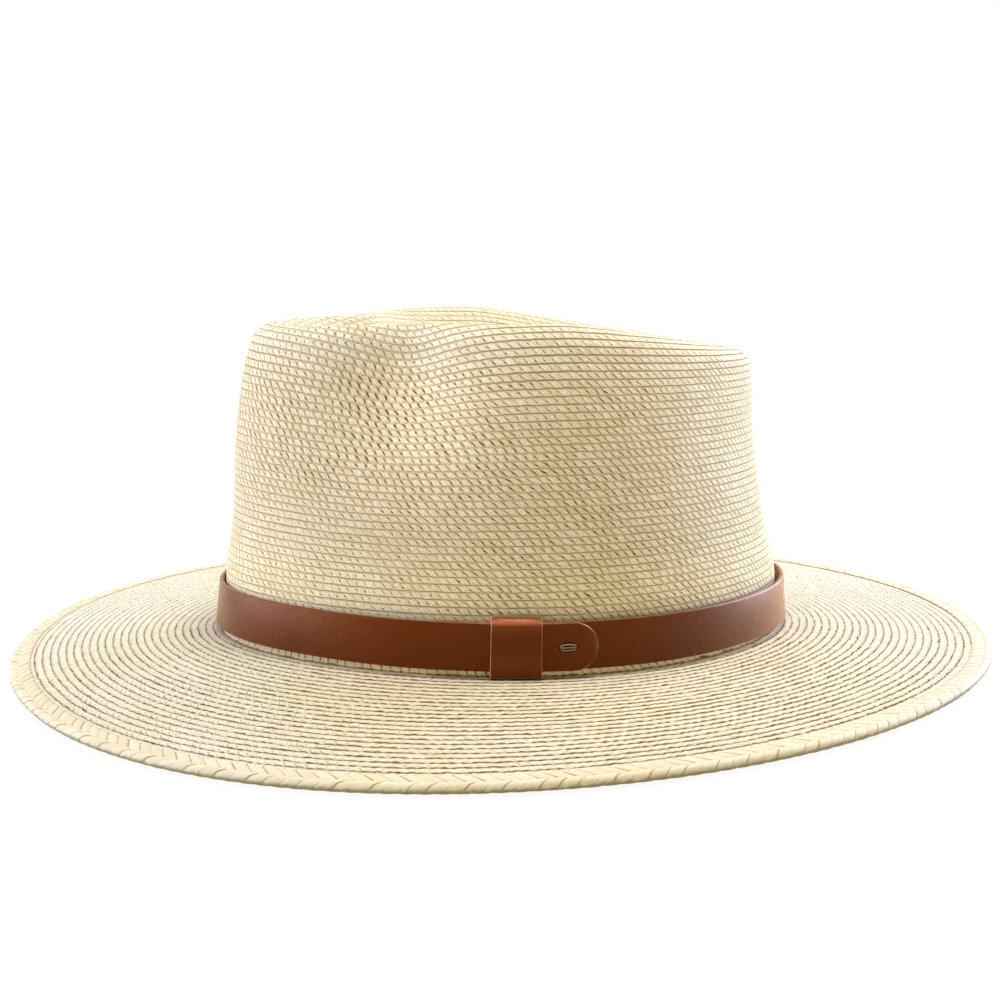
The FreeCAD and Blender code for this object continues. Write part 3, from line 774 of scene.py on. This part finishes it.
# ---- pieces that a rule lays out
class Layout(Tree):
    """A Geometry Nodes tree with named sizes."""

    family = "GeometryNode"
    KINDS = {float: "Float", int: "Int", bpy.types.Object: "Object", bpy.types.Material: "Material"}

    def __init__(self, name, **sizes):
        self.group = bpy.data.node_groups.new(name, "GeometryNodeTree")
        super().__init__(self.group.nodes, self.group.links)
        self.sizes = sizes
        face = self.group.interface
        for label, value in sizes.items():
            kind = next(kind for form, kind in self.KINDS.items() if isinstance(value, form))
            face.new_socket(label, in_out="INPUT", socket_type="NodeSocket" + kind)
        face.new_socket("Geometry", in_out="OUTPUT", socket_type="NodeSocketGeometry")
        self.start = self.nodes.new("NodeGroupInput")

    def size(self, label):
        return Value(self, self.start.outputs[label])

    def random(self, number):
        """A random number from 0 to 1 for each number."""
        return self.step("FunctionNodeRandomValue", out=1, ID=number, Seed=self.size("Seed"))

    def store(self, shape, name, value, kind, domain):
        return self.step("StoreNamedAttribute", {"data_type": kind, "domain": domain},
                         Geometry=shape, Name=name, Value=value)

    def end(self, shape):
        shape = self.step("RealizeInstances", Geometry=shape)
        shape = self.step("SetMaterial", Geometry=shape, Material=self.size("Material"))
        self.links.new(shape.socket, self.nodes.new("NodeGroupOutput").inputs[0])

    def laid_out(self, name):
        """What the tree makes, as a plain mesh."""
        base = put("base", bpy.data.meshes.new("base"))
        modifier = base.modifiers.new("layout", "NODES")
        modifier.node_group = self.group
        for item in self.group.interface.items_tree:
            if item.name in self.sizes:
                modifier[item.identifier] = self.sizes[item.name]
        graph = bpy.context.evaluated_depsgraph_get()
        mesh = bpy.data.meshes.new_from_object(base.evaluated_get(graph), depsgraph=graph)
        mesh.name = name
        bpy.data.objects.remove(base)
        mesh.shade_smooth()
        return put(name, mesh)


def edge_section(degrees, sink):
    """Section of the folded edge, sunk below its outside by sink: top face, round rim, underside."""
    lift, rim, out = RIM_RADIUS - sink, oval(BRIM, degrees), outward(BRIM, degrees)
    rows = [edge_point(inward, lift, degrees) for inward in np.linspace(EDGE_TOP, EDGE_BEND, 9)]
    for turn in np.radians(np.linspace(84, -84, 11)):
        rows.append(at_height(rim + out * lift * math.cos(turn), RIM_HEIGHT + lift * math.sin(turn)))
    rows += [edge_point(inward, -lift, degrees) for inward in np.linspace(EDGE_BEND, EDGE_UNDER, 8)]
    return np.stack(rows, 1)


def edge_point(inward, lift, degrees):
    return brim_point(1 - inward / brim_width(degrees), lift, degrees)


def make_edge_core(columns=300):
    """The plait's inner layer, folded over the brim's raw edge."""
    degrees = all_round(columns)
    slot = [edge_point(inward, side * SLOT_HALF, degrees)
            for inward, side in ((EDGE_UNDER, -1), (EDGE_BEND, -1), (EDGE_BEND, 1), (EDGE_TOP, 1))]
    grid = np.concatenate([edge_section(degrees, CORE_SINK), np.stack(slot, 1)], 1)
    return make_piece("edge_plait_under_layer", grid.reshape(-1, 3), tube_faces(columns, grid.shape[1]))


def make_edge_map(columns=720):
    """Unseen skin whose map unrolls the folded edge flat, so that strands can be laid on it."""
    grid = edge_section(np.arange(columns + 1) * 360.0 / columns, STRAW_SINK)
    around = np.concatenate([[0], np.cumsum(np.linalg.norm(np.diff(grid[:, 12], axis=0), axis=-1))])
    across = run_lengths(grid)
    across /= across[:, -1:]
    count = grid.shape[1]
    faces, uv = [], []
    for i, k in np.ndindex(columns, count - 1):
        faces.append([a * count + b for a, b in corners(i, k)])
        uv += [(around[a] / around[-1], across[a, b]) for a, b in corners(i, k)]
    return put("edge_map", new_mesh("edge_map", grid.reshape(-1, 3), faces, uv, "unrolled")), around[-1]


def make_edge_plait(material):
    """Flat straws laid in slanting columns, each column leaning the other way, over the folded edge."""
    skin, length = make_edge_map()
    lay = Layout("edge_plait", Crossings=int(round(length / CROSSING)), Columns=4, Width=0.965, Lean=-0.92,
                 Rise=0.00046, Seed=4, Skin=skin, Material=material)
    crossings, columns = lay.size("Crossings"), lay.size("Columns")

    # One straw on each post of a grid: which post it is, and the place on the straw.
    straw = lay.step("MeshGrid", Size_X=STRAW_CELL, Size_Y=STRAW_CELL, Vertices_X=5, Vertices_Y=7)
    posts = lay.step("MeshGrid", Size_X=crossings - 1, Size_Y=columns - 1, Vertices_X=crossings, Vertices_Y=columns)
    laid = lay.step("RealizeInstances", Geometry=lay.step("InstanceOnPoints", Points=posts, Instance=straw))
    x, y = lay.split(lay.step("InputPosition"))[:2]
    x, y = x + (crossings - 1) / 2, y + (columns - 1) / 2
    number, column = (x + 0.5).whole(), (y + 0.5).whole()
    wide, long = (x - number) / STRAW_CELL, (y - column) / STRAW_CELL + 0.5
    odd = (column / 2).part() * 2
    tone, shift = lay.random(number * 7 + column * 1013), lay.random(number * 5 + column * 2027)

    # Where the straw lies on the unrolled edge, and how far it stands out of it.
    lean = (1 - odd * 2) * lay.size("Lean")
    narrow = 1 - (long * 2 - 1).size() ** 6 * 0.35
    around = number + 0.5 + odd * 0.5 + lean * (long - 0.5) + wide * lay.size("Width") * narrow
    around = around + (shift - 0.5) * 0.10
    over = ((column + 0.5 + (long - 0.5) * 1.16) / columns).between(0.0005, 0.9995)
    dome = 1 - (wide * 2) ** 2 * 0.40
    arch = 1 - (long * 2 - 1).size() ** 2.5
    height = dome * (0.35 + arch * 0.65) * (0.85 + shift * 0.15) * lay.size("Rise")

    mapped = lay.step("ObjectInfo", out="Geometry", Object=lay.size("Skin"))
    source = lay.step("InputNamedAttribute", {"data_type": "FLOAT_VECTOR"}, Name="unrolled")
    unrolled = lay.vector((around / crossings).part(), over)
    point, normal = [lay.step("SampleUVSurface", {"data_type": "FLOAT_VECTOR"}, Mesh=mapped,
                              Value=lay.step("Input" + what), UV_Map=source, Sample_UV=unrolled)
                     for what in ("Position", "Normal")]
    raised = lay.vector_math("MULTIPLY", normal, height)
    laid = lay.store(laid, "strand", lay.vector(long, wide + 0.5), "FLOAT2", "CORNER")
    laid = lay.store(laid, "tone", tone, "FLOAT", "POINT")
    lay.end(lay.step("SetPosition", Geometry=laid, Position=lay.vector_math("ADD", point, raised)))
    piece = lay.laid_out("edge_plait_straws")
    bpy.data.objects.remove(skin)
    return piece


# ---- leather band
def layer_outset(path):
    """How far the strap's inside stands off the crown, as its outer layer climbs over the inner end."""
    climb_end = STRAP["inner_end"] - 360 + STRAP["climb_end"]
    climb = smooth((climb_end + STRAP["ramp"] - path) / STRAP["ramp"])
    return STRAP["stand_off"] + (STRAP["thickness"] + STRAP["gap"]) * climb


def strap_speed(path):
    """Millimetres for each degree."""
    ends = crown_oval(STRAP["stand_off"], path + np.array([0.5, -0.5]))
    return float(np.linalg.norm(ends[0] - ends[1]))


def strap_place(path, outset, height):
    lean = STRAP["lean"] * height / STRAP["height"]
    return seat(at_height(crown_oval(outset - lean, path), STRAP["foot"] + height))


def rounded_section(width, height, radius, steps=3):
    """Corner points of a rounded oblong from 0 to width and 0 to height, with how far each is a cut edge."""
    right, top = width - radius, height - radius
    middles = np.repeat([(right, radius), (right, top), (radius, top), (radius, radius)], steps + 1, 0)
    turn = np.radians(90 * (np.repeat(range(-1, 3), steps + 1) + np.tile(np.arange(steps + 1) / steps, 4)))
    return middles + radius * np.stack([np.cos(turn), np.sin(turn)], -1), np.abs(np.sin(turn)) ** 1.5


def make_strap():
    section, raw = rounded_section(STRAP["thickness"], STRAP["height"], STRAP["corner"])
    tip, radius = STRAP["tip"] - 360, STRAP["height"] / 2
    start = tip + radius / strap_speed(tip)
    turns = np.radians(np.linspace(0, 88, TIP_STATIONS))[1:]
    path = np.concatenate([np.linspace(STRAP["inner_end"], start, STRAP_STATIONS),
                           start - radius * np.sin(turns) / strap_speed(start)])
    half = np.concatenate([np.full(STRAP_STATIONS, radius), radius * np.cos(turns)])
    height = radius + (section[None, :, 1] - radius) * (half / radius)[:, None]
    outset = layer_outset(path)[:, None] + section[None, :, 0]
    points = strap_place(np.broadcast_to(path[:, None], height.shape), outset, height)

    # The cut edge shows more raw leather toward the round tip, and most round its end.
    ends = np.concatenate([np.zeros(STRAP_STATIONS), np.linspace(0, 1, TIP_STATIONS)[1:] ** 2])
    tipped = smooth(np.arange(len(path)) / 6 - 70)[:, None]
    cut = raw[None] * 0.26
    within = (section[:, 0] > 0.2) & (section[:, 0] < 1.2)
    marks = np.maximum(cut + (raw[None] ** 0.4 - cut) * tipped, ends[:, None] * within[None])
    marks[0], marks[-1] = 0.3, 1
    return make_piece("leather_strap", points.reshape(-1, 3), tube_faces(len(path), len(section), closed=False),
                      marks={"raw": marks.ravel()})


def circle_through(points):
    """Centre and radius of the circle through three points."""
    centre = np.linalg.solve(2 * (points[1:] - points[0]), (points[1:] ** 2).sum(1) - (points[0] ** 2).sum())
    return centre, np.linalg.norm(points[0] - centre)


def keeper_loop(low, high, inner, outer):
    """Middle line of the keeper's leather round both layers of the strap, with the way that it faces."""
    bends = ((outer, low, 0.9, -90), (outer, high, 2.4, 0), (inner, high, 0.9, 90), (inner, low, 0.75, 180))
    straights = {-90: [(outer, low + 4.2, 1, 0), (outer, low + 9.0, 1, 0), (outer, high - 5.6, 1, 0)],
                 90: [(inner, high - 4, -1, 0), (inner, low + 5, -1, 0)]}
    loop = []
    for x, z, radius, start in bends:
        cx = x - radius if x == outer else x + radius
        cz = z - radius if z == high else z + radius
        for turn in np.radians(np.linspace(start, start + 90, 9)):
            c, s = math.cos(turn), math.sin(turn)
            loop.append((cx + radius * c, cz + radius * s, c, s))
        loop += straights.get(start, [])
    return loop


def make_keeper():
    """Loop of leather bent round both layers of the strap, fuller at its top fold."""
    angle, width, thickness, clearance = [KEEPER[k] for k in ("angle", "width", "thickness", "clearance")]
    near = crown_oval(STRAP["stand_off"], angle + np.array([-6.0, 0.0, 6.0]))
    centre, radius = circle_through(near)
    low = -clearance - KEEPER["slack_below"] - thickness / 2
    high = STRAP["height"] + clearance + KEEPER["slack_above"] + thickness / 2
    loop = keeper_loop(low, high, -clearance - thickness / 2, LAYERS + clearance + thickness / 2)
    section, raw = rounded_section(width, thickness, 0.36)
    slope = STRAP["lean"] / STRAP["height"]
    base = math.atan2(*(near[1] - centre)[::-1])
    points, marks, painted_highlight = [], [], []
    for x, z, nx, nz in loop:
        # The painted highlight is strongest on the top fold; the front face above and below it gets only a little.
        bent = math.exp(-((math.degrees(math.atan2(nz, nx)) - 34) / 17) ** 2) if nz > 0 else 0
        face = max(0.0, 0.20 * (z - high + 5.6) / 4.5) if nx > 0.99 else 0
        foot = 0.07 if abs(z - low - 4.2) < 0.1 and nx > 0.99 else 0
        for (w, d), mark in zip(section, 1 - raw):
            crowned = 1 - (2 * w / width - 1) ** 2
            out, up = nx * (d - thickness / 2), nz * (d - thickness / 2)
            reach = radius + x + 0.34 * crowned * max(nx, 0) + out - (z + up) * slope
            turn = base + (w - width / 2) / radius
            points.append((centre[0] + reach * math.cos(turn), centre[1] + reach * math.sin(turn),
                           STRAP["foot"] + z + 0.40 * crowned * max(nz, 0) + up))
            marks.append(mark)
            painted_highlight.append(max(bent, face, foot))
    return make_piece("leather_keeper", seat(np.array(points)), tube_faces(len(loop), len(section)),
                      marks={"raw": marks, "painted_highlight": painted_highlight})


def tack_frame():
    """Middle of the tack on the strap's outside, with directions along the strap, outwards and up."""
    angle = STRAP["tip"] + TACK_FROM_TIP / strap_speed(STRAP["tip"])
    line = strap_place(angle + np.array([0.0, 0.5, -0.5]), np.full(3, STRAP["stand_off"] + LAYERS),
                       np.full(3, STRAP["height"] / 2))
    along = unit(line[2] - line[1])
    up = np.array([0, math.sin(HEADLINE_TILT), math.cos(HEADLINE_TILT)])
    out = np.cross(along, up)
    return line[0], along, out * np.sign(out @ line[0]), up


def make_tack(columns=10, steps=28):
    """Three turns of waxed thread from hole to hole, outside the leather and inside it."""
    middle, along, out, up = tack_frame()
    points, faces, uv = [], [], []
    for turn, slack in enumerate((0.0, 0.12, 0.05)):
        rise = (turn - 1) * THREAD_PITCH
        line = []
        for t in np.linspace(-1, 1, steps + 1):
            height = rise * (1 - abs(t) ** 3 * 0.45) + 0.05 * math.sin(5 * t + turn)
            line.append(middle + along * t * TACK_SPAN / 2 + up * height + out * (0.42 + slack - 0.75 * abs(t) ** 7))
        for t in np.linspace(1, -1, steps + 1):
            deep = LAYERS + 0.35 - 0.45 * abs(t) ** 7
            line.append(middle + along * t * TACK_SPAN / 2 + up * rise * 0.7 - out * deep)
        line = np.array(line)
        ahead = unit(np.roll(line, -1, 0) - np.roll(line, 1, 0))
        side = unit(np.cross(ahead, up))
        round_it = 2 * math.pi * np.arange(columns)[:, None] / columns
        base = len(points)
        for p, s, u in zip(line, side, np.cross(side, ahead)):
            points += list(p + (s * np.cos(round_it) + u * np.sin(round_it)) * THREAD_RADIUS)
        faces += [[base + i for i in face] for face in tube_faces(len(line), columns)]
        for i, k in np.ndindex(len(line), columns):
            uv += [(a / 2, b / columns) for a, b in corners(i, k)]
    return make_piece("tack_thread", points, faces, uv)


# ---- the hat
leather, lining, edge_straw = leather_finish(), lining_finish(), edge_strand_finish()
finish_piece(make_crown(), "hat", "straw_braid", crown_plait_finish(), "crown")
finish_piece(make_brim(), "hat", "straw_braid", brim_plait_finish(), "brim")
finish_piece(make_edge_core(), "hat", "straw_plait", core_finish())
finish_piece(make_edge_plait(edge_straw), "hat", "straw_plait", edge_straw, "brim_edge_braid")
finish_piece(make_strap(), "band", "tan_leather", leather, "band_strap")
finish_piece(make_tack(), "band", "tack_thread", thread_finish(), "strap_tack")
finish_piece(make_keeper(), "keeper", "tan_leather", leather, "band_keeper")
for node, material in (("sweatband", lining), ("sweatband_join", lining), ("sweatband_welt", welt_finish())):
    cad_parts[node].data.materials.clear()
    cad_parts[node].data.materials.append(material)


# ---- studio
def white_where_seen(tree, dull, white, most=1.0):
    """The white shader to the camera and in reflections, up to a share of most, and the dull one for other light."""
    seen = tree.step("LightPath", out=None)
    rays = [Value(tree, seen.outputs["Is %s Ray" % kind]) for kind in ("Camera", "Glossy", "Transmission")]
    return tree.step("MixShader", n0=(rays[0] + rays[1] + rays[2]).held() * most, n1=dull, n2=white).socket


def make_floor(width=24000.0, below=0.2):
    """White floor that fades out of sight away from the hat."""
    mesh = new_mesh("floor", [(x * width, y * width, -below) for x, y in corners(-0.5, -0.5)], [(0, 1, 2, 3)])
    f = Finish("white_floor", Base_Color=(0.85, 0.85, 0.85), Roughness=1.0, Specular_IOR_Level=0.0)
    away = f.vector_math("LENGTH", f.place, out="Value")
    mixed = white_where_seen(f, Value(f, f.shader.outputs[0]), f.step("Emission", Strength=1.0),
                             0.93 + away.rise(0.16, 0.34) * 0.07)
    f.links.new(mixed, f.nodes["Material Output"].inputs[0])
    mesh.materials.append(f.material)
    put("floor", mesh)


def make_world(strength, falls):
    """Soft light from all round, that falls off towards the wearer's left."""
    world = bpy.data.worlds.new("studio")
    scene.world = world
    world.use_nodes = True
    tree = Tree(world.node_tree.nodes, world.node_tree.links)
    left = tree.split(tree.step("TexCoord", out="Generated"))[0]
    dull = tree.step("Background", Color=(1.0, 0.95, 0.72),
                     Strength=strength - tree.math("MAXIMUM", left, 0.0) * falls)
    white = tree.step("Background", Color=(1, 1, 1), Strength=1.0)
    tree.links.new(white_where_seen(tree, dull, white), tree.nodes["World Output"].inputs[0])


def make_lamp(name, place, target, size, power, colour):
    lamp = bpy.data.lights.new(name, "AREA")
    lamp.size, lamp.energy, lamp.color = size, power, colour
    turn_to(put(name, lamp), place, target)


def turn_to(holder, place, target, roll=0.0):
    turn = (Vector(target) - Vector(place)).to_track_quat("-Z", "Y").to_matrix()
    turn = turn @ Matrix.Rotation(math.radians(roll), 3, "Z")
    holder.location, holder.rotation_euler = place, turn.to_euler()


def make_camera():
    lens = bpy.data.cameras.new("camera")
    lens.sensor_width, lens.lens, lens.clip_start = 36.0, 59.57, 0.01
    lens.shift_x, lens.shift_y = -0.0059, 0.0108
    scene.camera = put("camera", lens)
    turn_to(scene.camera, (0.5727, -0.1642, 0.1544), (0, 0, 0.0475), -0.48)


make_floor()
make_world(0.50, 0.16)
make_lamp("soft_rear_right", (-0.30, 0.95, 0.36), (0, 0.02, 0.05), 0.8, 15.0, (0.92, 1.01, 1.60))
make_lamp("soft_front_left", (-0.10, -0.95, 0.32), (0, -0.02, 0.05), 0.8, 8.8, (0.93, 1.01, 1.52))
make_lamp("soft_above", (0.0, 0.10, 1.1), (0, 0, 0.05), 0.35, 9.5, (1.0, 0.98, 1.06))
make_camera()
scene.view_settings.view_transform = "Standard"
